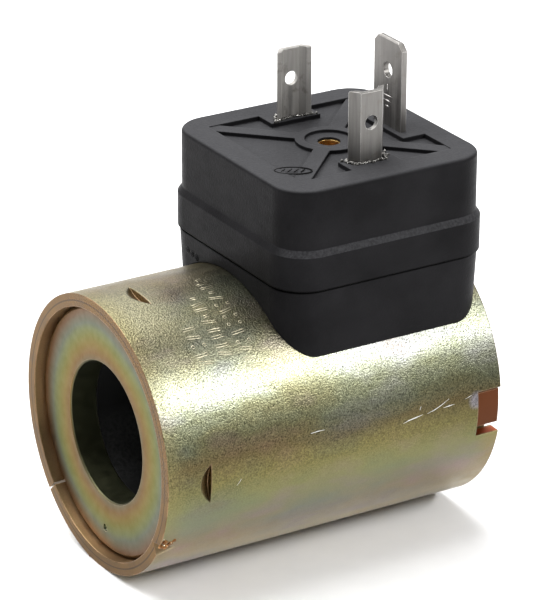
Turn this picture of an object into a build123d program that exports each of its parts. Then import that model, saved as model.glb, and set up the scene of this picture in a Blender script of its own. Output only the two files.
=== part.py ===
from build123d import *
import math
import os

# Solenoid coil for a cartridge valve: a steel can with a through bore along X, front face at -X,
# and a square three-pin connector base on top (+Z). The origin is on the bore axis at mid-length.
# All sizes in millimetres. Angles round the bore axis run from +Y (0) towards +Z (90).

# Steel can
shell_length = 48.5
shell_radius = 18.0
shell_wall = 1.7
seam_angle = -45.0
seam_gap = 0.3
through = 30.0  # cuts run out to here, past the part
front = -shell_length / 2
rear = shell_length / 2
shell_inner = shell_radius - shell_wall

# Bore and the two pole plates
bore_radius = 9.15
plate_radius = shell_inner - 0.05
front_recess = 1.3
front_thickness = 3.9
front_edge_chamfer = 0.5
lug_chamfer = 0.8
rear_recess = 0.2
rear_thickness = 3.1
bore_chamfer = 0.2
dimple_radius = 0.5
dimple_circle = 13.4
dimple_angle = -88.0
front_plate_back = front + front_recess + front_thickness
rear_plate_face = rear - rear_recess
rear_plate_front = rear_plate_face - rear_thickness

# Stop dents behind the front plate: the outside is pressed in, the inside stands out as a lug
shell_twist = 2.4
dent_start = front + 4.5
dent_end = front + 6.06
dent_depth = 1.0
dent_punch_radius = 6.0

# Stakes punched over the rims, and key notches of the rear plate
front_stake_angle = -148.5
rear_stake_angles = (-58.0, 122.0)
stake_reach = 2.4
stake_depth = 1.4
stake_width = 2.2
stake_bar = 4.0
lug_clearance = 0.02
front_lug_reach = 0.5
stake_lug = 0.8
notch_angle = 182.8
notch_width = 6.2
notch_depth = 3.45
tab_angle = 181.1
tab_width = 4.65
tab_radius = 17.75

# Bobbin, winding and wrap
moulded_gap = 0.05
bobbin_bore = 9.35
bobbin_tube = 10.6
bobbin_flange = 15.2
bobbin_flange_thickness = 1.5
winding_inner = 10.65
winding_outer = 14.2
wrap_thickness = 0.25
wrap_inner = winding_outer + moulded_gap
wrap_outer = wrap_inner + wrap_thickness

# Overmould: sleeve round the winding, neck through the slot of the can, lower half of the block
mould_front = dent_end + 0.2
mould_radius = 16.2
mould_inner = wrap_outer + moulded_gap
slot_front = front + 19.5
slot_half_width = 8.0
neck_clearance = 0.1
block_x = 9.4
lower_side = 29.8
lower_corner = 4.7
lower_top = 19.7
lower_depth = 14.0
lower_draft = 2.9
saddle_radius = shell_radius + moulded_gap
plinth_side = 26.0
plinth_top = lower_top + 0.25

# Upper half of the block
band_x_side = 30.0
band_y_side = 30.7
band_corner = 4.8
band_top = 24.4
bevel_top = 25.2
block_x_side = 29.0
block_y_side = 29.8
block_top = 32.9
block_corner = 4.5
top_fillet = 0.5
cavity_side = 24.0
cavity_corner = 2.0
cavity_top = 28.5

# Relief on the top face, round the connector axis
conn_x = 9.5
pocket_half = 11.0
pocket_floor = 32.3
arm_width = 2.1
arm_top = 32.8
ring_radius = 4.3
ring_inner = 3.1
dish_depth = 0.4
power_pad_half = 3.6
earth_pad_half = 5.0
pad_reach = 7.8
screw_hole_radius = 1.45

# Blades on the 18 mm square of the connector
pin_distance = 9.0
power_web_half = 1.55
power_tip_half = 2.55
power_depth_half = 0.65
power_sheet = 0.6
power_top = 42.1
power_hole_z = 38.0
power_hole_radius = 0.92
earth_width = 6.3
earth_sheet = 0.8
earth_top = 44.5
earth_chamfer = 1.0
earth_hole_z = 40.3
earth_hole_radius = 1.0
blade_bottom = 22.5

# Brass insert
insert_radius = 2.6
insert_top = 32.1
insert_length = 9.0
thread_depth = 7.5
insert_groove = 0.35
thread_radius = 1.25
boss_radius = 4.2

# Leads, sleeves, solder, earth strap and rivet
wire_radius = 0.3
sleeve_radius = 0.8
lead_y = 6.6
lead_bottom = 12.6
lead_bend = 24.0
lead_bend_radius = 0.9
sleeve_bottom = 14.6
sleeve_top = 21.5
solder_radius = 1.0
strap_width = 4.0
strap_sheet = 0.4
strap_top = 26.0
strap_foot_z = 16.3
strap_foot_end = 23.0
rivet_z = 24.3
rivet_radius = 0.8
rivet_head_radius = 1.4
rivet_head = 0.5


def tube_x(x0, x1, outer, inner=0.0):
    """Round bar or tube along X."""
    middle = Pos((x0 + x1) / 2, 0, 0)
    solid = middle * Cylinder(outer, x1 - x0, rotation=(0, 90, 0))
    if inner > 0:
        solid -= middle * Cylinder(inner, x1 - x0 + 2, rotation=(0, 90, 0))
    return solid


def box(x0, x1, y0, y1, z0, z1):
    """Box between two corners."""
    return Pos((x0 + x1) / 2, (y0 + y1) / 2, (z0 + z1) / 2) * Box(x1 - x0, y1 - y0, z1 - z0)


def round_edges(solid, radius):
    """Circular edges of one radius."""
    return solid.edges().filter_by(GeomType.CIRCLE).filter_by(lambda e: abs(e.radius - radius) < 0.01)


def around(angle, shape):
    """Turn a shape made at +Y round the bore axis."""
    return Rot(angle, 0, 0) * shape


def prism(x_side, y_side, corner, z0, z1, x=block_x):
    """Upright block with rounded corners."""
    outline = Pos(x, 0, z0) * RectangleRounded(x_side, y_side, corner)
    return extrude(outline, amount=z1 - z0)


def dent_punch(radius):
    """Sloping round punch at +Y whose lowest line runs down from dent_start to dent_end."""
    slope = math.atan(dent_depth / (dent_end - dent_start))
    x = dent_start + dent_punch_radius * math.sin(slope)
    y = shell_radius + dent_punch_radius * math.cos(slope)
    bar = Cylinder(radius, through, rotation=(0, 90, 0))
    punch = Pos(x, y, 0) * Rot(0, 0, -math.degrees(slope)) * bar
    return punch & box(dent_start, dent_end, 0, through, -shell_radius, shell_radius)


def dent_lug():
    """Metal that a dent pushes into the can, at +Y."""
    slope = math.atan(dent_depth / (dent_end - dent_start))
    pushed = dent_punch(dent_punch_radius + shell_wall * math.cos(slope))
    return pushed & tube_x(dent_start, dent_end, shell_inner + 0.1, shell_inner - 3)


def stake_cut(rim, inward):
    """V groove across the rim corner at +Y; inward is +1 at the front and -1 at the rear."""
    slope = math.atan(stake_depth / stake_reach)
    half_diagonal = stake_bar / math.sqrt(2)
    x = rim - inward * math.sin(slope) * half_diagonal
    y = shell_radius - stake_depth + math.cos(slope) * half_diagonal
    bar = Rot(45, 0, 0) * Box(3 * stake_bar, stake_bar, stake_bar)
    return Pos(x, y, 0) * Rot(0, 0, inward * math.degrees(slope)) * bar


def front_plate():
    x0 = front + front_recess
    plate = tube_x(x0, front_plate_back, plate_radius, bore_radius)
    plate = chamfer(round_edges(plate, plate_radius).sort_by(Axis.X)[-1:], lug_chamfer)
    plate = chamfer(round_edges(plate, plate_radius).sort_by(Axis.X)[:1], front_edge_chamfer)
    plate = chamfer(round_edges(plate, bore_radius), bore_chamfer)
    dimple = Pos(x0, dimple_circle, 0) * Sphere(dimple_radius)
    return plate - around(dimple_angle, dimple)


def rear_plate():
    plate = tube_x(rear_plate_front, rear_plate_face, plate_radius, bore_radius)
    plate = chamfer(round_edges(plate, plate_radius).sort_by(Axis.X)[-1:], stake_lug)
    plate = chamfer(round_edges(plate, bore_radius), bore_chamfer)
    reach = tube_x(rear_plate_front, rear_plate_face, tab_radius, bore_radius + 3)
    for turn in (0, 180):
        key = reach & box(front, rear, 0, through, -tab_width / 2, tab_width / 2)
        plate += around(tab_angle + turn, key)
    return plate


def shell(rear_ring):
    can = tube_x(front, rear, shell_radius, shell_inner)
    for quarter in range(4):
        angle = shell_twist + 90 * quarter
        can -= around(angle, dent_punch(dent_punch_radius))
        can += around(angle, dent_lug())
    for turn in (0, 180):
        notch = box(rear - notch_depth, rear + 1, 10, through, -notch_width / 2, notch_width / 2)
        can -= around(notch_angle + turn, notch)
    can -= around(seam_angle, box(front - 1, rear + 1, 10, through, -seam_gap / 2, seam_gap / 2))
    can -= box(slot_front, rear + 1, -slot_half_width, slot_half_width, 5, through)
    can -= around(front_stake_angle, stake_cut(front, 1))
    lug_back = front + front_recess - lug_clearance
    lug = tube_x(lug_back - stake_lug, lug_back, shell_inner + 0.1, shell_inner - front_lug_reach)
    lug &= box(front, 0, 0, through, -stake_width / 2, stake_width / 2)
    can += around(front_stake_angle, lug)
    for angle in rear_stake_angles:
        can -= around(angle, stake_cut(rear, -1))
        lug_start = rear_plate_face - stake_lug
        lug = tube_x(lug_start, rear_plate_face, shell_inner + 0.1, shell_inner - stake_lug)
        lug &= box(0, rear, 0, through, -stake_width / 2, stake_width / 2)
        can += around(angle, lug) - rear_ring
    return can


def bobbin():
    x0 = front_plate_back
    x1 = rear_plate_front
    body = tube_x(x0, x1, bobbin_tube, bobbin_bore)
    body += tube_x(x0, x0 + bobbin_flange_thickness, bobbin_flange, bobbin_bore)
    body += tube_x(x1 - bobbin_flange_thickness, x1, bobbin_flange, bobbin_bore)
    return body


def winding():
    x0 = front_plate_back + bobbin_flange_thickness
    x1 = rear_plate_front - bobbin_flange_thickness
    return tube_x(x0, x1, winding_outer, winding_inner)


def winding_wrap(leads):
    x0 = front_plate_back + bobbin_flange_thickness
    x1 = rear_plate_front - bobbin_flange_thickness
    return tube_x(x0, x1, wrap_outer, wrap_inner) - leads


def lower_block():
    outline = Pos(block_x, 0, lower_top) * RectangleRounded(lower_side, lower_side, lower_corner)
    block = extrude(outline, amount=-lower_depth, taper=lower_draft)
    block -= tube_x(front, rear + 5, saddle_radius)
    block += prism(plinth_side, plinth_side, lower_corner, lower_top - 1, plinth_top)
    half = slot_half_width - neck_clearance
    rear_end = block_x + lower_side / 2 - 1
    neck = box(slot_front + neck_clearance, rear_end, -half, half, mould_radius - 4, lower_top - 0.5)
    neck -= tube_x(rear_plate_front, rear + 5, plate_radius + neck_clearance)
    return block + neck


def coil_overmould(inner_pieces):
    x1 = rear_plate_front
    flange_end = front_plate_back + bobbin_flange_thickness
    sleeve = tube_x(mould_front, x1, mould_radius)
    body = sleeve + lower_block()
    body -= tube_x(mould_front - 1, x1, mould_inner)
    body -= tube_x(mould_front - 1, flange_end, bobbin_flange + moulded_gap)
    body -= tube_x(x1 - bobbin_flange_thickness, x1, bobbin_flange + moulded_gap)
    return body - inner_pieces


def relief():
    """What is cut from the top face: four sectors between the arms, less the pads and the ring."""
    side = 2 * pocket_half
    cut = Pos(conn_x, 0, (pocket_floor + block_top + 1) / 2) * Box(side, side, block_top + 1 - pocket_floor)
    arm_height = arm_top - pocket_floor
    for angle in (45, -45):
        arm = Rot(0, 0, angle) * Box(4 * pocket_half, arm_width, arm_height)
        cut -= Pos(conn_x, 0, pocket_floor + arm_height / 2) * arm
    height = block_top + 2 - pocket_floor
    for side_y in (-1, 1):
        pad_y = side_y * (pad_reach + pocket_half + 1) / 2
        pad = Box(2 * power_pad_half, pocket_half + 1 - pad_reach, height)
        cut -= Pos(conn_x, pad_y, pocket_floor + height / 2) * pad
    pad = Box(pocket_half + 1 - pad_reach, 2 * earth_pad_half, height)
    cut -= Pos(conn_x + (pad_reach + pocket_half + 1) / 2, 0, pocket_floor + height / 2) * pad
    ring = Pos(conn_x, 0, pocket_floor + arm_height / 2) * Cylinder(ring_radius, arm_height)
    return cut - ring


def connector_base(blades, insert):
    base = prism(band_x_side, band_y_side, band_corner, plinth_top, band_top)
    bevel = Pos(block_x, 0, band_top) * RectangleRounded(band_x_side, band_y_side, band_corner)
    bevel += Pos(block_x, 0, bevel_top) * RectangleRounded(block_x_side, block_y_side, block_corner)
    base += loft(bevel.faces())
    upper = prism(block_x_side, block_y_side, block_corner, bevel_top, block_top)
    upper = fillet(upper.faces().sort_by(Axis.Z)[-1].edges(), top_fillet)
    base += upper
    base -= relief()
    dish = Pos(conn_x, 0, arm_top) * Cylinder(ring_inner, 2 * dish_depth)
    base -= dish
    base -= prism(cavity_side, cavity_side, cavity_corner, plinth_top - 1, cavity_top)
    boss_height = cavity_top - plinth_top + 0.5
    base += Pos(conn_x, 0, plinth_top + boss_height / 2) * Cylinder(boss_radius, boss_height)
    base -= Pos(conn_x, 0, insert_top + 1) * Cylinder(screw_hole_radius, 4)
    return base - blades - insert - thread_hole()


def thread_hole():
    return Pos(conn_x, 0, insert_top - thread_depth / 2) * Cylinder(thread_radius, thread_depth)


def threaded_insert():
    middle = insert_top - insert_length / 2
    nut = Pos(conn_x, 0, middle) * Cylinder(insert_radius, insert_length)
    for share in (-0.22, 0.22):
        band = Cylinder(insert_radius + 1, 1.2) - Cylinder(insert_radius - insert_groove, 1.2)
        nut -= Pos(conn_x, 0, middle + share * insert_length) * band
    return nut - thread_hole()


def power_blade(side):
    """Channel blade; its web is on the outside and its edges turn towards the connector axis."""
    deep = power_depth_half
    inner_web = power_web_half - 0.4
    inner_tip = power_tip_half - 0.7
    floor = power_sheet - deep
    corners = [(-power_tip_half, deep), (-power_web_half, -deep), (power_web_half, -deep),
               (power_tip_half, deep), (inner_tip, deep), (inner_web, floor),
               (-inner_web, floor), (-inner_tip, deep)]
    outline = make_face(Polyline([(x, side * -y) for x, y in corners], close=True))
    foot = Pos(conn_x, side * pin_distance, blade_bottom)
    blade = extrude(foot * outline, amount=power_top - blade_bottom)
    top = blade.faces().sort_by(Axis.Z)[-1]
    blade = chamfer(top.edges().filter_by(Axis.X), 0.15)
    hole = Pos(conn_x, side * (pin_distance + deep), power_hole_z) * Rot(90, 0, 0)
    return blade - hole * Cylinder(power_hole_radius, 3)


def earth_blade():
    half = earth_width / 2
    x = conn_x + pin_distance
    blade = box(x - earth_sheet / 2, x + earth_sheet / 2, -half, half, blade_bottom, earth_top)
    corners = blade.edges().filter_by(Axis.X).group_by(Axis.Z)[-1]
    blade = chamfer(corners, earth_chamfer)
    rim = blade.faces().sort_by(Axis.Z)[-1].edges().filter_by(Axis.Y)
    blade = chamfer(rim, 0.2)
    blade -= Pos(x, 0, earth_hole_z) * Cylinder(earth_hole_radius, 4, rotation=(0, 90, 0))
    return blade - Pos(x, 0, rivet_z) * Cylinder(rivet_radius, 4, rotation=(0, 90, 0))


def lead_path(side):
    end = side * (pin_distance + power_sheet - power_depth_half)
    points = [(conn_x, side * lead_y, lead_bottom), (conn_x, side * lead_y, lead_bend),
              (conn_x, end, lead_bend)]
    return FilletPolyline(*points, radius=lead_bend_radius)


def lead(side):
    section = Plane(origin=(conn_x, side * lead_y, lead_bottom), z_dir=(0, 0, 1)) * Circle(wire_radius)
    wire = sweep(section, path=lead_path(side))
    return wire - tube_x(front, rear, winding_outer)


def sleeve(side):
    height = sleeve_top - sleeve_bottom
    tube = Cylinder(sleeve_radius, height) - Cylinder(wire_radius + moulded_gap, height + 1)
    return Pos(conn_x, side * lead_y, sleeve_bottom + height / 2) * tube


def solder(side, blade, wire):
    face = side * (pin_distance + power_sheet - power_depth_half)
    drop = Pos(conn_x, face, lead_bend) * Sphere(solder_radius)
    drop &= box(-40, 40, min(0, face), max(0, face), 0, 40)
    return drop - blade - wire


def earth_strap():
    x = conn_x + pin_distance + earth_sheet / 2
    half = strap_width / 2
    strap = box(x, x + strap_sheet, -half, half, strap_foot_z, strap_top)
    strap += box(x, strap_foot_end, -half, half, strap_foot_z, strap_foot_z + strap_sheet)
    knee = Vector(x, 0, strap_foot_z)
    corner = strap.edges().filter_by(Axis.Y).sort_by(lambda e: (e.center() - knee).length)
    strap = fillet(corner[:1], strap_sheet)
    return strap - Pos(x, 0, rivet_z) * Cylinder(rivet_radius, 4, rotation=(0, 90, 0))


def earth_rivet():
    x0 = conn_x + pin_distance - earth_sheet / 2
    x1 = x0 + earth_sheet + strap_sheet
    raise_to = Pos(0, 0, rivet_z)
    rivet = raise_to * tube_x(x0 - rivet_head, x1 + rivet_head, rivet_radius)
    rivet += raise_to * tube_x(x0 - rivet_head, x0, rivet_head_radius)
    rivet += raise_to * tube_x(x1, x1 + rivet_head, rivet_head_radius)
    return rivet


def potting(filled_round, base):
    fill = prism(cavity_side, cavity_side, cavity_corner, plinth_top, cavity_top)
    fill -= base
    return fill - filled_round


front_ring = front_plate()
rear_ring = rear_plate()
blade_1 = power_blade(1)
blade_2 = power_blade(-1)
blade_earth = earth_blade()
insert = threaded_insert()
wire_1 = lead(1)
wire_2 = lead(-1)
sleeve_1 = sleeve(1)
sleeve_2 = sleeve(-1)
solder_1 = solder(1, blade_1, wire_1)
solder_2 = solder(-1, blade_2, wire_2)
strap = earth_strap()
rivet = earth_rivet()
base = connector_base(blade_1 + blade_2 + blade_earth, insert)
leads = wire_1 + wire_2
lead_space = sleeve_1 + sleeve_2 + leads
for side in (1, -1):
    lead_space += Pos(conn_x, side * lead_y, 17) * Cylinder(wire_radius + moulded_gap, 9)
inner_metal = blade_1 + blade_2 + blade_earth + insert + solder_1 + solder_2 + rivet

parts = {
    "shell": shell(rear_ring),
    "front_pole_plate": front_ring,
    "rear_pole_plate": rear_ring,
    "bobbin": bobbin(),
    "winding": winding(),
    "winding_wrap": winding_wrap(leads),
    "coil_overmould": coil_overmould(lead_space + strap),
    "connector_base": base,
    "potting": potting(inner_metal + lead_space + strap + thread_hole(), base),
    "terminal_1": blade_1,
    "terminal_2": blade_2,
    "terminal_earth": blade_earth,
    "threaded_insert": insert,
    "lead_start": wire_1,
    "lead_finish": wire_2,
    "sleeve_start": sleeve_1,
    "sleeve_finish": sleeve_2,
    "solder_start": solder_1,
    "solder_finish": solder_2,
    "earth_strap": strap,
    "earth_rivet": rivet,
}

os.makedirs("parts", exist_ok=True)
for name, shape in parts.items():
    export_step(shape, f"parts/{name}.step")
    print(name, len(shape.solids()), round(shape.volume, 1))
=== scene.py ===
import math
import random

import bmesh
import bpy
from mathutils import Euler, Matrix, Vector


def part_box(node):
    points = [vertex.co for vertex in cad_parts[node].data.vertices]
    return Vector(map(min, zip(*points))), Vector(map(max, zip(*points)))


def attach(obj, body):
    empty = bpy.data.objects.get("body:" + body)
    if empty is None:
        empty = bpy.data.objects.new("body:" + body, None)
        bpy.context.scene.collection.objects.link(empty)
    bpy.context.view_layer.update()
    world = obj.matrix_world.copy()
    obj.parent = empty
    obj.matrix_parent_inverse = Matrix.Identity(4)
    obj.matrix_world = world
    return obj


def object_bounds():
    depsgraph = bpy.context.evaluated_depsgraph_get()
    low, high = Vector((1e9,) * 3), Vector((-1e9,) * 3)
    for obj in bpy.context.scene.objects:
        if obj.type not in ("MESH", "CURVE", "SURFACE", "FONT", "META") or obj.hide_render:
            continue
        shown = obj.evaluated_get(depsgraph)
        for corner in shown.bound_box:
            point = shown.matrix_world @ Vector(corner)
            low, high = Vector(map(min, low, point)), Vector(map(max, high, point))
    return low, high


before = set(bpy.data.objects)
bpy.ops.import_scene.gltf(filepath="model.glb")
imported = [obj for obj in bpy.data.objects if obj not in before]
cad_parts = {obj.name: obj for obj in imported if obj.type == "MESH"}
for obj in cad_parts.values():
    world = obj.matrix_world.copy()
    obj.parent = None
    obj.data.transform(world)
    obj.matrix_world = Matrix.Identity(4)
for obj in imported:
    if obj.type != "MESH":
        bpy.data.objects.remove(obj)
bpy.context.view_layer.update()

MM = 0.001

# Sizes of the CAD model that colours and small pieces refer to.
CAN_RADIUS = 18 * MM
CAN_INSIDE = 16.3 * MM
CAN_END = 24.25 * MM
PLATE_FACE = -22.95 * MM
BORE_RADIUS = 9.15 * MM
BEVEL_TOP = 25.2 * MM

# Marks that are only colour.
# The groove in the rim is only painted shade, at this radius.
RIM_GROOVE_RADIUS = 17.1 * MM
KEY_TINT_START = 20.5 * MM
KEY_SMEAR = (20.6 * MM, -17.9 * MM, 1.3 * MM)
PARTING_LINE = 19.82 * MM
# Lowest level of the paler up-facing faces: partly dusty, partly painted sheen.
DUST_AND_SHEEN_START = 31.6 * MM

# Camera fitted to the outlines in the photograph, in metres and degrees.
CAMERA_PLACE = (-0.220095, -0.362576, 0.195206)
CAMERA_LENS = 220.05
CAMERA_LOOK_DOWN = 23.26
CAMERA_HEADING = -31.342
CAMERA_ROLL = 0.196

# Cross-section of a raised line: share of its width, share of its height (below 0: mm into the surface).
RIDGE_PROFILE = ((-0.5, -0.04), (-0.32, 0.7), (0.0, 1.0), (0.32, 0.7), (0.5, -0.04))
# Share of its size that is left at its two ends.
RIDGE_END = 0.45
# A crumb's foot: its corners, and its level in mm from the surface.
CRUMB_SIDES = 7
CRUMB_SUNK = -0.05


# ---------------------------------------------------------------- node helpers

def use_nodes(name):
    """New node material; returns it with its tree and its surface shader."""
    material = bpy.data.materials.new(name)
    material.use_nodes = True
    tree = material.node_tree
    return material, tree, tree.nodes["Principled BSDF"]


def add(tree, kind, values=None, **settings):
    """New node; a value that is a socket is linked, any other is set on the input."""
    made = tree.nodes.new(kind)
    for key, value in settings.items():
        setattr(made, key, value)
    for key, value in (values or {}).items():
        if isinstance(value, bpy.types.NodeSocket):
            tree.links.new(value, made.inputs[key])
        else:
            made.inputs[key].default_value = value
    return made


def maths(tree, operation, first, second=0.0):
    return add(tree, "ShaderNodeMath", {0: first, 1: second}, operation=operation).outputs[0]


def times(tree, first, second):
    return maths(tree, "MULTIPLY", first, second)


def off_by(tree, value, middle):
    """Distance of a value from a middle, always positive."""
    return maths(tree, "ABSOLUTE", maths(tree, "SUBTRACT", value, middle))


def spread(tree, value, low, high, to_low=0.0, to_high=1.0):
    """Low to high becomes 0 to 1, or to_low to to_high, held at both ends."""
    values = {"Value": value, "From Min": low, "From Max": high, "To Min": to_low, "To Max": to_high}
    return add(tree, "ShaderNodeMapRange", values).outputs["Result"]


def ramp(tree, factor, stops):
    made = add(tree, "ShaderNodeValToRGB", {"Fac": factor})
    line = made.color_ramp
    line.interpolation = "LINEAR"
    while len(line.elements) < len(stops):
        line.elements.new(0.5)
    for element, (share, color) in zip(line.elements, stops):
        element.position = share
        element.color = (*color, 1)
    return made.outputs["Color"]


def mix(tree, factor, first, second, blend="MIX"):
    made = tree.nodes.new("ShaderNodeMix")
    made.data_type = "RGBA"
    made.blend_type = blend
    for key, value in (("Factor", factor), ("A", first), ("B", second)):
        socket = next(s for s in made.inputs if s.name == key and s.enabled)
        if isinstance(value, bpy.types.NodeSocket):
            tree.links.new(value, socket)
        elif key == "Factor":
            socket.default_value = value
        else:
            socket.default_value = (*value, 1)
    return next(s for s in made.outputs if s.enabled)


def dimmed(tree, color, factor):
    """A colour times a grey factor."""
    grey = add(tree, "ShaderNodeCombineXYZ", {0: factor, 1: factor, 2: factor}).outputs[0]
    return mix(tree, 1.0, color, grey, "MULTIPLY")


def noise(tree, where, scale, detail=2.0, roughness=0.5):
    values = {"Vector": where, "Scale": scale, "Detail": detail, "Roughness": roughness}
    return add(tree, "ShaderNodeTexNoise", values).outputs["Fac"]


def stretched(tree, where, factors):
    values = {0: where, 1: factors}
    return add(tree, "ShaderNodeVectorMath", values, operation="MULTIPLY").outputs[0]


def bump(tree, height, strength, distance, normal):
    values = {"Height": height, "Strength": strength, "Distance": distance, "Normal": normal}
    return add(tree, "ShaderNodeBump", values).outputs["Normal"]


def position(tree):
    """Object position, which is the row frame in metres."""
    return add(tree, "ShaderNodeTexCoord").outputs["Object"]


def parts_of(tree, vector):
    """The x, y and z of a vector."""
    parts = add(tree, "ShaderNodeSeparateXYZ", {0: vector}).outputs
    return parts[0], parts[1], parts[2]


def from_axis(tree, y, z):
    """Distance from the bore axis."""
    return maths(tree, "SQRT", maths(tree, "ADD", times(tree, y, y), times(tree, z, z)))


def edge_mask(tree, radius):
    """1 near an edge, 0 on a flat; with the softened normal."""
    soft = add(tree, "ShaderNodeBevel", {"Radius": radius}, samples=6).outputs["Normal"]
    flat = add(tree, "ShaderNodeNewGeometry").outputs["Normal"]
    values = {0: soft, 1: flat}
    dot = add(tree, "ShaderNodeVectorMath", values, operation="DOT_PRODUCT").outputs["Value"]
    return spread(tree, dot, 0.995, 0.85), soft


def finish_shader(tree, shader, color, roughness, normal, metallic):
    tree.links.new(color, shader.inputs["Base Color"])
    tree.links.new(roughness, shader.inputs["Roughness"])
    tree.links.new(normal, shader.inputs["Normal"])
    shader.inputs["Metallic"].default_value = metallic


# ---------------------------------------------------------------- materials

def at(degrees):
    """Place on a ramp that runs once round the can, from -180 to 180 degrees."""
    return 0.5 + degrees / 360


def between(tree, turn, low, high):
    """Share of the way between two angles in degrees."""
    return spread(tree, turn, math.radians(low), math.radians(high))


def chromated_can():
    """Yellow-chromated zinc on the rolled can: tints run round it in bands, broken up by clouds.

    The turn is the angle round the bore from -Y, through +Z, to +Y. Bands, the pale top and the dark zone
    beside the block stand for what the plating reflects in the photograph.
    """
    material, tree, shader = use_nodes("chromated_can")
    where = position(tree)
    x, y, z = parts_of(tree, where)
    clouds = noise(tree, stretched(tree, where, (0.5, 1, 1)), 90, 4, 0.6)
    fine = noise(tree, where, 420, 3, 0.6)
    grain = noise(tree, where, 5200, 1, 0.6)
    turn = maths(tree, "ARCTAN2", z, times(tree, y, -1.0))
    turn = maths(tree, "ADD", turn, times(tree, maths(tree, "SUBTRACT", clouds, 0.5), 0.35))
    share = spread(tree, turn, -math.pi, math.pi)

    # Painted reflection in bands round the can, with a painted highlight at 34 degrees; and patches of
    # thin-film tint along the clouds.
    olive = (0.24, 0.20, 0.10)
    bands = ramp(tree, share, [
        (at(-180), olive), (at(-90), (0.44, 0.36, 0.31)), (at(-45), (0.52, 0.437, 0.377)),
        (at(-35), (0.404, 0.331, 0.30)), (at(-25), (0.282, 0.275, 0.242)),
        (at(-15), (0.239, 0.238, 0.147)), (at(-5), (0.173, 0.154, 0.08)), (at(5), (0.116, 0.091, 0.056)),
        (at(14), (0.116, 0.113, 0.08)), (at(25), (0.252, 0.246, 0.18)), (at(34), (0.66, 0.65, 0.55)),
        (at(45), (0.274, 0.268, 0.229)), (at(55), (0.173, 0.164, 0.137)), (at(65), (0.17, 0.158, 0.123)),
        (at(75), (0.136, 0.126, 0.095)), (at(85), (0.101, 0.083, 0.054)), (at(95), (0.232, 0.178, 0.126)),
        (at(140), (0.25, 0.21, 0.13)), (at(180), olive)])
    patches = ramp(tree, clouds, [
        (0.30, (0.97, 0.75, 0.78)), (0.42, (0.90, 0.88, 0.50)), (0.52, (0.80, 0.90, 0.68)),
        (0.62, (0.75, 0.80, 0.95)), (0.72, (1.0, 0.80, 0.85))])
    color = mix(tree, 0.62, bands, patches, "MULTIPLY")

    # Painted reflection: a pale top towards the front, and a dark zone beside the block where the block
    # is reflected; and warmer ends.
    painted_pale_top = times(tree, between(tree, turn, 52, 66), between(tree, turn, 104, 90))
    painted_pale_top = times(tree, painted_pale_top, spread(tree, x, -14.5 * MM, -19.5 * MM, 0.0, 0.9))
    color = mix(tree, painted_pale_top, color, (0.25, 0.235, 0.15))
    beside = times(tree, spread(tree, x, -12.8 * MM, -7.0 * MM), between(tree, turn, 50, 66))
    beside = times(tree, beside, between(tree, turn, 132, 96))
    color = mix(tree, times(tree, beside, 0.7), color, (0.05, 0.057, 0.045))
    front_glow = spread(tree, x, -21.5 * MM, -24.0 * MM)
    color = mix(tree, times(tree, front_glow, 0.4), color, (0.24, 0.20, 0.075))
    rear_glow = times(tree, spread(tree, x, 20.8 * MM, 23.8 * MM), spread(tree, turn, 0.0, -0.12))
    rear_glow = times(tree, rear_glow, spread(tree, fine, 0.3, 0.6, 0.15, 0.6))
    color = mix(tree, rear_glow, color, (0.33, 0.23, 0.085))

    # Pale smear by the key notch, and painted shade that darkens the rear half.
    values = {0: where, 1: KEY_SMEAR}
    key_offset = add(tree, "ShaderNodeVectorMath", values, operation="DISTANCE").outputs["Value"]
    key_offset = maths(tree, "ADD", key_offset, times(tree, fine, 0.8 * MM))
    smear = spread(tree, key_offset, 1.8 * MM, 1.1 * MM)
    color = mix(tree, times(tree, smear, 0.6), color, (0.27, 0.26, 0.31))
    color = dimmed(tree, color, spread(tree, x, 6 * MM, 20 * MM, 1.0, 0.76))

    # Cut faces of the sheet, torn red at the key, the inner wall, and the rim with painted shade in its
    # groove.
    radius = from_axis(tree, y, z)
    cut = spread(tree, radius, CAN_RADIUS - 0.05 * MM, CAN_RADIUS - 0.25 * MM)
    at_key = times(tree, spread(tree, x, KEY_TINT_START, KEY_TINT_START + 0.2 * MM),
                   spread(tree, maths(tree, "ABSOLUTE", z), 5.5 * MM, 4.5 * MM))
    torn_tint = mix(tree, at_key, (0.17, 0.095, 0.04), (0.42, 0.085, 0.025))
    cut = times(tree, cut, spread(tree, at_key, 0.0, 1.0, 0.6, 0.95))
    color = mix(tree, cut, color, torn_tint)
    inner_wall = spread(tree, radius, CAN_INSIDE + 0.4 * MM, CAN_INSIDE + 0.1 * MM)
    color = mix(tree, inner_wall, color, (0.42, 0.29, 0.16))
    rim_start = CAN_END - 0.07 * MM
    rim_full = CAN_END - 0.01 * MM
    rim_face = maths(tree, "MAXIMUM", spread(tree, x, -rim_start, -rim_full),
                     spread(tree, x, rim_start, rim_full))
    rim_tint = ramp(tree, fine, [(0.35, (0.11, 0.060, 0.019)), (0.65, (0.165, 0.092, 0.029))])
    groove_painted_shade = off_by(tree, radius, RIM_GROOVE_RADIUS)
    groove_painted_shade = spread(tree, groove_painted_shade, 0.13 * MM, 0.05 * MM, 0.0, 0.7)
    rim_tint = mix(tree, groove_painted_shade, rim_tint, (0.03, 0.018, 0.008))
    color = mix(tree, rim_face, color, rim_tint)

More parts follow.
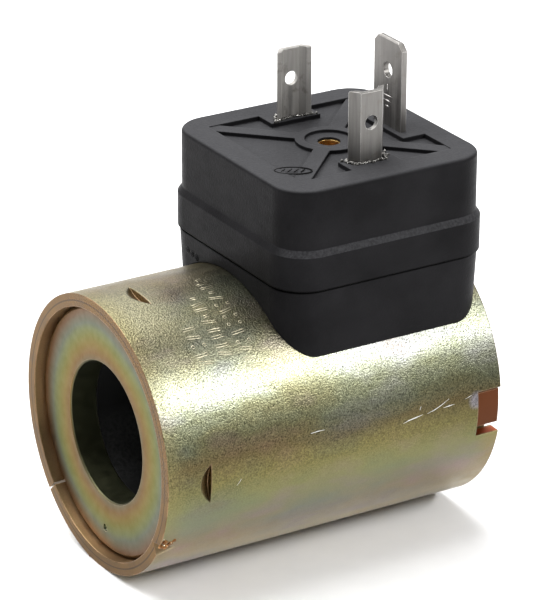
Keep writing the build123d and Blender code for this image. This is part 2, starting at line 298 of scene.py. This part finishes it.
    # Speckle of the rolled sheet, strong from the -Y side up to the top, and rubbed edges.
    vivid = maths(tree, "MINIMUM", spread(tree, turn, math.radians(-16), math.radians(8), 0.12, 1.0),
                  spread(tree, turn, math.radians(80), math.radians(125), 1.0, 0.12))
    speckle = times(tree, maths(tree, "SUBTRACT", grain, 0.5), times(tree, vivid, 2.5))
    speckle = maths(tree, "MAXIMUM", maths(tree, "ADD", speckle, 1.0), 0.15)
    color = dimmed(tree, color, speckle)
    near_edge, soft = edge_mask(tree, 0.22 * MM)
    lighter_edges = times(tree, near_edge, spread(tree, fine, 0.35, 0.6))
    color = mix(tree, times(tree, lighter_edges, 0.7), color, (0.42, 0.27, 0.17))
    roughness = spread(tree, fine, 0.3, 0.7, 0.34, 0.46)
    normal = bump(tree, fine, 0.03, 0.2 * MM, soft)
    normal = bump(tree, grain, times(tree, vivid, 0.70), 0.11 * MM, normal)
    finish_shader(tree, shader, color, roughness, normal, 1.0)
    return material


def chromated_plate():
    """The same plating on a turned plate: rings of thin-film colour round the bore."""
    material, tree, shader = use_nodes("chromated_plate")
    where = position(tree)
    x, y, z = parts_of(tree, where)
    radius = from_axis(tree, y, z)
    drift = maths(tree, "SUBTRACT", noise(tree, where, 70, 3), 0.5)
    drifting = maths(tree, "ADD", radius, times(tree, drift, 3.2 * MM))
    share = spread(tree, drifting, 9 * MM, 16.5 * MM)
    rings = ramp(tree, share, [
        (0.00, (0.112, 0.092, 0.048)), (0.13, (0.145, 0.080, 0.020)), (0.27, (0.160, 0.112, 0.020)),
        (0.42, (0.137, 0.130, 0.028)), (0.54, (0.125, 0.137, 0.053)), (0.64, (0.106, 0.117, 0.080)),
        (0.76, (0.12, 0.096, 0.061)), (0.86, (0.137, 0.076, 0.04)), (0.95, (0.11, 0.069, 0.027)),
        (1.00, (0.098, 0.063, 0.024))])
    lathe = noise(tree, where, 900, 2)
    fine = noise(tree, where, 2200, 2, 0.6)
    near_edge, soft = edge_mask(tree, 0.15 * MM)
    color = mix(tree, times(tree, near_edge, 0.5), rings, (0.55, 0.42, 0.27))
    inside = times(tree, spread(tree, x, PLATE_FACE + 0.02 * MM, PLATE_FACE + 0.25 * MM),
                   spread(tree, radius, BORE_RADIUS + 0.35 * MM, BORE_RADIUS + 0.05 * MM))
    color = mix(tree, inside, color, (0.10, 0.105, 0.06))
    roughness = spread(tree, lathe, 0.3, 0.7, 0.36, 0.48)
    normal = bump(tree, fine, 0.10, 0.06 * MM, soft)
    finish_shader(tree, shader, color, roughness, normal, 1.0)
    return material


def chromated_rear_plate():
    """Bare brown oxide on the key of the rear plate, tinted plating elsewhere."""
    material, tree, shader = use_nodes("chromated_rear_plate")
    where = position(tree)
    y, z = parts_of(tree, where)[1:]
    on_key = spread(tree, from_axis(tree, y, z), CAN_INSIDE - 0.1 * MM, CAN_INSIDE + 0.2 * MM)
    clouds = noise(tree, where, 240, 3)
    plate = ramp(tree, clouds, [
        (0.35, (0.36, 0.27, 0.12)), (0.5, (0.30, 0.29, 0.15)), (0.65, (0.33, 0.23, 0.18))])
    brown = ramp(tree, clouds, [(0.35, (0.073, 0.019, 0.0035)), (0.65, (0.098, 0.028, 0.0065))])
    near_edge, soft = edge_mask(tree, 0.25 * MM)
    color = mix(tree, on_key, plate, brown)
    # Paler edges: partly rubbing of the plating, partly a painted highlight along the rounded edges of
    # the key.
    color = mix(tree, times(tree, near_edge, 0.4), color, (0.40, 0.25, 0.15))
    normal = bump(tree, noise(tree, where, 1800, 2), 0.12, 0.06 * MM, soft)
    roughness = spread(tree, clouds, 0.3, 0.7, 0.42, 0.55)
    finish_shader(tree, shader, color, roughness, normal, 0.8)
    return material


def moulded_black(name, base, lift, roughness, grain_size, grain_strength):
    """Glass-filled black plastic with a fine spark-eroded texture.

    Lift is the paler tint laid on edges, partly from rubbing and partly a painted edge highlight. Faces
    that look up near the top are paler, partly dusty and partly painted sheen; the bevel of the band
    carries a painted glint where it faces -Y, and the parting line is dark.
    """
    material, tree, shader = use_nodes(name)
    where = position(tree)
    z = parts_of(tree, where)[2]
    grain = noise(tree, where, grain_size, 3, 0.65)
    cloud = noise(tree, where, 160, 3)
    flow = noise(tree, stretched(tree, where, (1, 1, 3)), 500, 2)
    near_edge, soft = edge_mask(tree, 0.25 * MM)
    low = tuple(c * 0.8 for c in base)
    high = tuple(c * 1.3 for c in base)
    color = ramp(tree, cloud, [(0.3, low), (0.7, high)])
    # Paler edges: partly rubbing, partly a painted edge highlight.
    lighter_edges = times(tree, near_edge, spread(tree, grain, 0.35, 0.65, 0.1, 0.8))
    color = mix(tree, lighter_edges, color, lift)

    # Paler faces that look up near the top: partly dusty, partly painted sheen.
    facing = add(tree, "ShaderNodeNewGeometry").outputs["Normal"]
    sideways, upward = parts_of(tree, facing)[1:]
    dust_and_sheen = times(tree, spread(tree, z, DUST_AND_SHEEN_START, DUST_AND_SHEEN_START + 0.5 * MM),
                 spread(tree, upward, 0.55, 0.95))
    dust_and_sheen = times(tree, dust_and_sheen, spread(tree, grain, 0.35, 0.65, 0.75, 1.0))
    # Paler bevel of the band where it faces -Y: a painted glint.
    key_side = times(tree, sideways, -1.0)
    painted_bevel_glint = times(tree, spread(tree, upward, 0.15, 0.5), spread(tree, key_side, 0.15, 0.5))
    painted_bevel_glint = times(tree, painted_bevel_glint, spread(tree, z, BEVEL_TOP + 0.8 * MM, BEVEL_TOP + 0.2 * MM))
    painted_bevel_glint = times(tree, painted_bevel_glint, spread(tree, grain, 0.35, 0.65, 0.3, 0.9))
    color = mix(tree, maths(tree, "MAXIMUM", dust_and_sheen, painted_bevel_glint), color, tuple(c * 1.35 for c in lift))

    parting = off_by(tree, z, PARTING_LINE)
    parting = spread(tree, parting, 0.32 * MM, 0.20 * MM, 0.0, 0.9)
    color = mix(tree, parting, color, (0.0008, 0.0008, 0.0008))
    normal = bump(tree, grain, grain_strength, 0.08 * MM, soft)
    rough = spread(tree, flow, 0.3, 0.7, roughness - 0.04, roughness + 0.05)
    finish_shader(tree, shader, color, rough, normal, 0.0)
    shader.inputs["Specular IOR Level"].default_value = 0.03
    return material


def tinned(name, color_low, color_high, along, dull):
    """Tinned sheet with rolling streaks along it and a few dull spots."""
    material, tree, shader = use_nodes(name)
    where = position(tree)
    streaks = noise(tree, stretched(tree, where, along), 1500, 3, 0.6)
    spots = noise(tree, where, 650, 3, 0.7)
    near_edge, soft = edge_mask(tree, 0.12 * MM)
    color = ramp(tree, streaks, [(0.3, color_low), (0.7, color_high)])
    color = mix(tree, spread(tree, spots, 0.56, 0.72, 0.0, 0.55), color, (0.16, 0.14, 0.12))
    color = mix(tree, times(tree, near_edge, 0.75), color, (0.72, 0.70, 0.67))
    rough = spread(tree, streaks, 0.3, 0.7, dull - 0.08, dull + 0.08)
    normal = bump(tree, streaks, 0.22, 0.05 * MM, soft)
    finish_shader(tree, shader, color, rough, normal, 1.0)
    return material


def cast(name, color_low, color_high, metallic, roughness, scale):
    """Plain cast, turned or drawn stuff with a cloudy tint and a light bump."""
    material, tree, shader = use_nodes(name)
    cloud = noise(tree, position(tree), scale, 3)
    color = ramp(tree, cloud, [(0.3, color_low), (0.7, color_high)])
    soft = add(tree, "ShaderNodeBevel", {"Radius": 0.1 * MM}, samples=4).outputs["Normal"]
    normal = bump(tree, cloud, 0.2, 0.05 * MM, soft)
    rough = spread(tree, cloud, 0.3, 0.7, roughness - 0.05, roughness + 0.08)
    finish_shader(tree, shader, color, rough, normal, metallic)
    return material


# ---------------------------------------------------------------- stage

def add_camera():
    camera_data = bpy.data.cameras.new("camera")
    camera_data.sensor_width = 36
    camera_data.lens = CAMERA_LENS
    camera_data.clip_start = 0.01
    camera = bpy.data.objects.new("camera", camera_data)
    bpy.context.scene.collection.objects.link(camera)
    tilt = math.radians(90 - CAMERA_LOOK_DOWN)
    turn = Euler((tilt, 0, math.radians(CAMERA_HEADING))).to_matrix()
    turn = turn @ Matrix.Rotation(math.radians(CAMERA_ROLL), 3, "Z")
    camera.matrix_world = Matrix.Translation(CAMERA_PLACE) @ turn.to_4x4()
    bpy.context.scene.camera = camera


def add_floor():
    bpy.ops.mesh.primitive_plane_add(size=6, location=(0, 0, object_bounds()[0][2]))
    floor = bpy.context.active_object
    floor.name = "floor"
    material, tree, shader = use_nodes("floor_paper")
    speck = noise(tree, position(tree), 300, 2)
    paper = ramp(tree, speck, [(0.3, (0.90, 0.90, 0.90)), (0.7, (0.92, 0.92, 0.92))])
    tree.links.new(paper, shader.inputs["Base Color"])
    shader.inputs["Roughness"].default_value = 0.9
    floor.data.materials.append(material)


def add_light(name, where, size, power):
    """Rectangular studio light aimed at the origin."""
    light_data = bpy.data.lights.new(name, "AREA")
    light_data.shape = "RECTANGLE"
    light_data.size, light_data.size_y = size
    light_data.energy = power
    light = bpy.data.objects.new(name, light_data)
    bpy.context.scene.collection.objects.link(light)
    light.location = where
    light.rotation_euler = (-Vector(where)).to_track_quat("-Z", "Y").to_euler()


def add_world():
    """White paper behind the stage, darker towards the viewer and on the ceiling."""
    world = bpy.data.worlds.new("studio")
    bpy.context.scene.world = world
    world.use_nodes = True
    tree = world.node_tree
    background = tree.nodes["Background"]
    direction = add(tree, "ShaderNodeTexCoord").outputs["Generated"]
    depth, height = parts_of(tree, direction)[1:]
    paper = ramp(tree, spread(tree, depth, -0.7, 0.5), [
        (0.0, (0.20, 0.20, 0.21)), (0.5, (0.45, 0.45, 0.46)), (1.0, (1.0, 1.0, 1.02))])
    ceiling = spread(tree, height, 0.45, 0.75)
    paper = mix(tree, ceiling, paper, (0.42, 0.42, 0.42))
    tree.links.new(paper, background.inputs["Color"])
    background.inputs["Strength"].default_value = 1.0


# ---------------------------------------------------------------- small pieces

def on_can(x, arc, lift):
    """Point on the can: x along it, arc round it from -Y upwards, lift above the sheet, all in mm."""
    turn = arc * MM / CAN_RADIUS
    radius = CAN_RADIUS + lift * MM
    return Vector((x * MM, -radius * math.cos(turn), radius * math.sin(turn)))


def can_arc(degrees):
    """Arc length in mm from the -Y line up to an angle round the bore, +Y being 0 and +Z 90."""
    return math.radians(180 - degrees) * CAN_RADIUS / MM


def on_top(level):
    """Surface facing +Z at a level in metres; its points are x, y and lift in mm."""
    def point(x, y, lift):
        return Vector((x * MM, y * MM, level + lift * MM))
    return point


def on_front(level):
    """Surface facing -X at a level in metres; its points are y, z and lift in mm."""
    def point(y, z, lift):
        return Vector((level - lift * MM, y * MM, z * MM))
    return point


def add_ridge(mesh, surface, path, width, height, uneven=None):
    """Low rounded ridge along a path on a surface, closed all round and sunk a little into it."""
    rings = []
    last = len(path) - 1
    for index, (u, v) in enumerate(path):
        before = path[max(index - 1, 0)]
        after = path[min(index + 1, last)]
        along = Vector((after[0] - before[0], after[1] - before[1])).normalized()
        side = Vector((-along.y, along.x))
        grow = RIDGE_END if index in (0, last) else 1.0
        grow *= uneven.uniform(0.6, 1.5) if uneven else 1.0
        ring = []
        for across, up in RIDGE_PROFILE:
            shift = side * (across * width * grow)
            lift = up * height * grow if up > 0 else up
            ring.append(mesh.verts.new(surface(u + shift.x, v + shift.y, lift)))
        rings.append(ring)
    for first, second in zip(rings, rings[1:]):
        for k in range(len(RIDGE_PROFILE)):
            nxt = (k + 1) % len(RIDGE_PROFILE)
            mesh.faces.new((first[k], first[nxt], second[nxt], second[k]))
    mesh.faces.new(rings[0])
    mesh.faces.new(list(reversed(rings[-1])))


def add_piece(name, mesh, material, smooth=True):
    """Turn the mesh into a named piece that rides on the body."""
    bmesh.ops.recalc_face_normals(mesh, faces=mesh.faces)
    data = bpy.data.meshes.new(name)
    mesh.to_mesh(data)
    mesh.free()
    for face in data.polygons:
        face.use_smooth = smooth
    piece = bpy.data.objects.new(name, data)
    bpy.context.scene.collection.objects.link(piece)
    data.materials.append(material)
    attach(piece, "root")


def turned(center, turn, u, v):
    """Point u, v of a small drawing that is turned about its center."""
    return (center[0] + u * math.cos(turn) - v * math.sin(turn),
            center[1] + u * math.sin(turn) + v * math.cos(turn))


def ring_path(center, half_long, half_short, turn, count=28):
    """Closed ellipse round a center, as a path."""
    path = []
    for step in range(count + 1):
        angle = 2 * math.pi * step / count
        path.append(turned(center, turn, half_long * math.cos(angle), half_short * math.sin(angle)))
    return path


def stamped_marks(material):
    """Three plain rows of bars and dots where the can carries a stamping."""
    draw = random.Random(7)
    mesh = bmesh.new()
    # Each row: its middle along the can in mm, and its first and last angle round the bore.
    rows = ((-9.8, 92, 141), (-12.7, 104, 137), (-15.8, 119, 136))
    half_bars = {"bar": 1.1, "short": 0.55}
    for middle, first, last in rows:
        angle = first
        while angle < last:
            arc = can_arc(angle)
            kind = draw.choice(("bar", "bar", "short", "dots"))
            lean = draw.uniform(-0.12, 0.12)
            if kind == "dots":
                for offset in (-0.8, 0.8):
                    dot = ring_path((middle + offset, arc), 0.22, 0.22, 0, 8)
                    add_ridge(mesh, on_can, dot, 0.12, 0.035)
            else:
                half = half_bars[kind]
                path = [(middle - half + 2 * half * k / 4, arc + lean * (k - 2)) for k in range(5)]
                for side in (-0.17, 0.17):
                    add_ridge(mesh, on_can, [(u, v + side) for u, v in path], 0.13, 0.04, draw)
            angle += draw.uniform(3.0, 4.4)
    add_piece("stamped_marks", mesh, material)


def scratches(material):
    """Bright scores in the plating beside the key notch and on the side; points are x and angle."""
    draw = random.Random(11)
    mesh = bmesh.new()
    lines = (((9.5, 177.9), (10.3, 177.2), (11.4, 176.7), (12.4, 176.2)),
             ((13.1, 176.3), (14.2, 175.5), (15.4, 174.0), (16.4, 172.4)),
             ((15.5, 175.6), (16.4, 175.4), (17.2, 175.2)),
             ((18.8, 174.3), (19.3, 173.9), (19.8, 173.4)),
             ((12.0, 174.0), (12.1, 173.3), (12.2, 172.6)),
             ((-4.0, 172.0), (-2.9, 171.8), (-2.0, 171.9)),
             ((-14.6, 186.0), (-14.2, 184.6), (-14.0, 183.5)))
    for line in lines:
        path = [(x, can_arc(angle)) for x, angle in line]
        add_ridge(mesh, on_can, path, 0.14, 0.012, draw)
    add_piece("scratches", mesh, material)


def top_oval(material):
    """Plain oval with a few slanting bars, in place of the mark that is moulded in the top."""
    # Known fault: the level is that of the border, so most of the oval hangs over the pocket floor.
    mesh = bmesh.new()
    middle = (-0.3, -7.4)
    turn = math.radians(-31)
    half_long = 2.3
    half_short = 1.15
    bar_reach = 0.6
    surface = on_top(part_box("connector_base")[1][2])
    add_ridge(mesh, surface, ring_path(middle, half_long, half_short, turn), 0.26, 0.05)
    for share in (-0.55, -0.2, 0.15, 0.5):
        reach = bar_reach * math.sqrt(1 - share * share)
        path = [turned(middle, turn, half_long * share + 0.5 * v, v) for v in (-reach, 0.0, reach)]
        add_ridge(mesh, surface, path, 0.24, 0.045)
    add_piece("top_oval", mesh, material)


def blade_flash(name, blade, side, material):
    """Uneven squeezed-out rim where a power blade leaves the moulding."""
    draw = random.Random(name)
    end_gap = 0.35
    side_gap = 0.22
    inset = 1.0
    wobble = 0.07
    low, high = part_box(blade)
    near, far = sorted((abs(low[1]), abs(high[1])))
    x0, x1 = low[0] / MM - end_gap, high[0] / MM + end_gap
    inner = side * (near / MM - side_gap)
    outer = side * (far / MM + side_gap)
    surface = on_top(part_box("connector_base")[1][2])
    mesh = bmesh.new()
    outline = [(x0, inner), ((x0 + x1) / 2, inner + side * 0.55), (x1, inner),
               (x1 - 0.2, inner + side * 0.5), (x1 - inset, outer), (x0 + inset, outer),
               (x0 + 0.2, inner + side * 0.5), (x0, inner)]
    for (u0, v0), (u1, v1) in zip(outline, outline[1:]):
        steps = max(2, int(math.dist((u0, v0), (u1, v1)) / 0.28))
        path = []
        for step in range(steps + 1):
            share = step / steps
            path.append((u0 + (u1 - u0) * share + draw.uniform(-wobble, wobble),
                         v0 + (v1 - v0) * share + draw.uniform(-wobble, wobble)))
        add_ridge(mesh, surface, path, 0.34, 0.26, draw)
        crumbs = [(u + draw.uniform(-0.3, 0.3), v + draw.uniform(-0.3, 0.3)) for u, v in path[::2]]
        for u, v in crumbs:
            reach = draw.uniform(0.1, 0.3)
            lean = draw.uniform(-0.2, 0.2)
            crumb = [(u - reach, v - lean), (u, v), (u + reach, v + lean)]
            add_ridge(mesh, surface, crumb, 0.26, 0.34, draw)
    add_piece(name, mesh, material)


def earth_sign(material):
    """The common earth sign, struck in the earth blade."""
    mesh = bmesh.new()
    surface = on_front(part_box("terminal_earth")[0][0])
    for half, level in ((1.3, 36.9), (0.85, 36.2), (0.4, 35.5)):
        add_ridge(mesh, surface, [(-half, level), (0.0, level), (half, level)], 0.22, 0.05)
    add_ridge(mesh, surface, [(0.0, 37.0), (0.0, 37.7), (0.0, 38.4)], 0.22, 0.05)
    add_piece("earth_sign", mesh, material)


def cavity_dots(material):
    """Three small moulded dots on the front side of the lower block."""
    mesh = bmesh.new()
    # The drafted side of the lower block lies this far behind the band, at the height of the dots.
    draft_depth = 0.23 * MM
    surface = on_front(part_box("connector_base")[0][0] + draft_depth)
    for y, z in ((9.7, 17.5), (8.6, 17.35), (7.5, 17.2)):
        for radius in (0.16, 0.40):
            add_ridge(mesh, surface, ring_path((y, z), radius, radius, 0, 10), 0.22, 0.07)
    add_piece("cavity_dots", mesh, material)


def add_crumb(mesh, surface, u, v, reach, height, draw):
    """Small uneven grain of metal sitting on a surface."""
    around = []
    for step in range(CRUMB_SIDES):
        angle = 2 * math.pi * step / CRUMB_SIDES
        far = reach * draw.uniform(0.6, 1.3)
        around.append((u + far * math.cos(angle), v + far * math.sin(angle)))
    foot = [mesh.verts.new(surface(a, b, CRUMB_SUNK)) for a, b in around]
    waist = []
    for a, b in around:
        level = height * draw.uniform(0.4, 0.8)
        waist.append(mesh.verts.new(surface(u + (a - u) * 0.8, v + (b - v) * 0.8, level)))
    tip = mesh.verts.new(surface(u, v, height))
    for k in range(CRUMB_SIDES):
        nxt = (k + 1) % CRUMB_SIDES
        mesh.faces.new((foot[k], foot[nxt], waist[nxt], waist[k]))
        mesh.faces.new((waist[k], waist[nxt], tip))
    mesh.faces.new(list(reversed(foot)))


def rim_burrs(name, spots, seed, material):
    """Crumbs of torn metal at the front rim; each spot is x, angle, reach and height."""
    draw = random.Random(seed)
    mesh = bmesh.new()
    for x, angle, reach, height in spots:
        add_crumb(mesh, on_can, x, can_arc(angle), reach, height, draw)
    add_piece(name, mesh, material, smooth=False)


# ---------------------------------------------------------------- run

add_camera()
add_floor()
add_world()
add_light("key", (0.43, -0.593, 0.522), (0.7, 0.10), 6)
add_light("top", (-0.15, 0.45, 0.95), (1.2, 1.2), 24)
bpy.context.scene.view_settings.view_transform = "Standard"

black = moulded_black("black_moulding", (0.0105, 0.0102, 0.011), (0.034, 0.034, 0.036), 0.42, 3200, 0.5)
upright = (1, 1, 0.06)
# One tinned sheet for all blades, in lit and shaded copies: the left blade's copy is painted lighter and
# the right and earth blades' copies painted darker, as painted light and painted shade.
tin_left_painted_light = tinned("tinned_left_painted_light", (0.30, 0.29, 0.275), (0.48, 0.465, 0.44), upright, 0.66)
tin_right_painted_shade = tinned("tinned_right_painted_shade", (0.13, 0.125, 0.118), (0.24, 0.232, 0.22), upright, 0.46)
tin_earth_painted_shade = tinned("tinned_earth_painted_shade", (0.16, 0.15, 0.142), (0.28, 0.27, 0.255), upright, 0.44)
copper = cast("enamelled_copper", (0.40, 0.13, 0.05), (0.52, 0.20, 0.08), 1.0, 0.35, 700)
sleeve = cast("sleeve_glass", (0.60, 0.56, 0.44), (0.78, 0.74, 0.62), 0.0, 0.6, 1500)
solder = cast("solder", (0.45, 0.45, 0.46), (0.66, 0.66, 0.67), 1.0, 0.25, 900)
looks = {
    "shell": chromated_can(),
    "front_pole_plate": chromated_plate(),
    "rear_pole_plate": chromated_rear_plate(),
    "coil_overmould": black,
    "connector_base": black,
    "bobbin": moulded_black("bobbin_black", (0.010, 0.010, 0.010), (0.03, 0.03, 0.03), 0.5, 2200, 0.2),
    "potting": cast("potting_resin", (0.02, 0.02, 0.02), (0.035, 0.034, 0.032), 0.0, 0.35, 400),
    "terminal_1": tin_left_painted_light,
    "terminal_2": tin_right_painted_shade,
    "terminal_earth": tin_earth_painted_shade,
    "earth_strap": tin_earth_painted_shade,
    "threaded_insert": cast("insert_brass", (0.60, 0.36, 0.12), (0.78, 0.52, 0.20), 1.0, 0.30, 900),
    "earth_rivet": cast("rivet_brass", (0.55, 0.34, 0.12), (0.70, 0.48, 0.20), 1.0, 0.35, 900),
    "winding": copper,
    "lead_start": copper,
    "lead_finish": copper,
    "winding_wrap": cast("wrap_film", (0.55, 0.40, 0.08), (0.70, 0.55, 0.14), 0.0, 0.35, 300),
    "sleeve_start": sleeve,
    "sleeve_finish": sleeve,
    "solder_start": solder,
    "solder_finish": solder,
}
for name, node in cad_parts.items():
    node.data.materials.clear()
    node.data.materials.append(looks[name])

bright_edge = cast("struck_zinc", (0.42, 0.38, 0.26), (0.62, 0.57, 0.42), 1.0, 0.30, 900)
bright_tin = cast("struck_tin", (0.60, 0.59, 0.56), (0.80, 0.78, 0.75), 1.0, 0.28, 900)
bare_zinc = cast("bare_zinc", (0.60, 0.60, 0.58), (0.80, 0.80, 0.78), 0.7, 0.38, 900)
# Black glossy flash, with light grey metallic spots that stand in for glints: painted glints.
gloss_and_painted_glints = cast("flash_gloss_painted_glints", (0.01, 0.01, 0.01), (0.30, 0.29, 0.27), 0.6, 0.13, 2600)
stamped_marks(bright_edge)
scratches(bare_zinc)
top_oval(moulded_black("oval_black", (0.004, 0.004, 0.004), (0.012, 0.012, 0.012), 0.5, 3200, 0.3))
blade_flash("flash_1", "terminal_1", 1, gloss_and_painted_glints)
blade_flash("flash_2", "terminal_2", -1, gloss_and_painted_glints)
earth_sign(bright_tin)
torn = cast("torn_zinc", (0.10, 0.03, 0.01), (0.42, 0.22, 0.08), 1.0, 0.35, 1500)
glint = cast("torn_glint", (0.65, 0.55, 0.38), (0.85, 0.76, 0.58), 1.0, 0.25, 1500)
stake_spots = ((-23.95, 208.5, 0.55, 0.34), (-23.7, 206.4, 0.46, 0.24), (-23.4, 209.8, 0.44, 0.22),
               (-22.9, 208.2, 0.46, 0.16), (-22.4, 207.0, 0.32, 0.12))
glint_spots = ((-23.9, 207.4, 0.14, 0.36), (-23.3, 208.9, 0.12, 0.24), (-22.8, 207.6, 0.10, 0.18),
               (-24.0, 204.5, 0.12, 0.10))
foot_spots = ((-24.05, 277.8, 0.28, 0.22), (-23.95, 276.4, 0.16, 0.12))
rim_burrs("stake_burr", stake_spots, 3, torn)
rim_burrs("stake_glints", glint_spots, 5, glint)
rim_burrs("foot_burr", foot_spots, 9, torn)
cavity_dots(black)
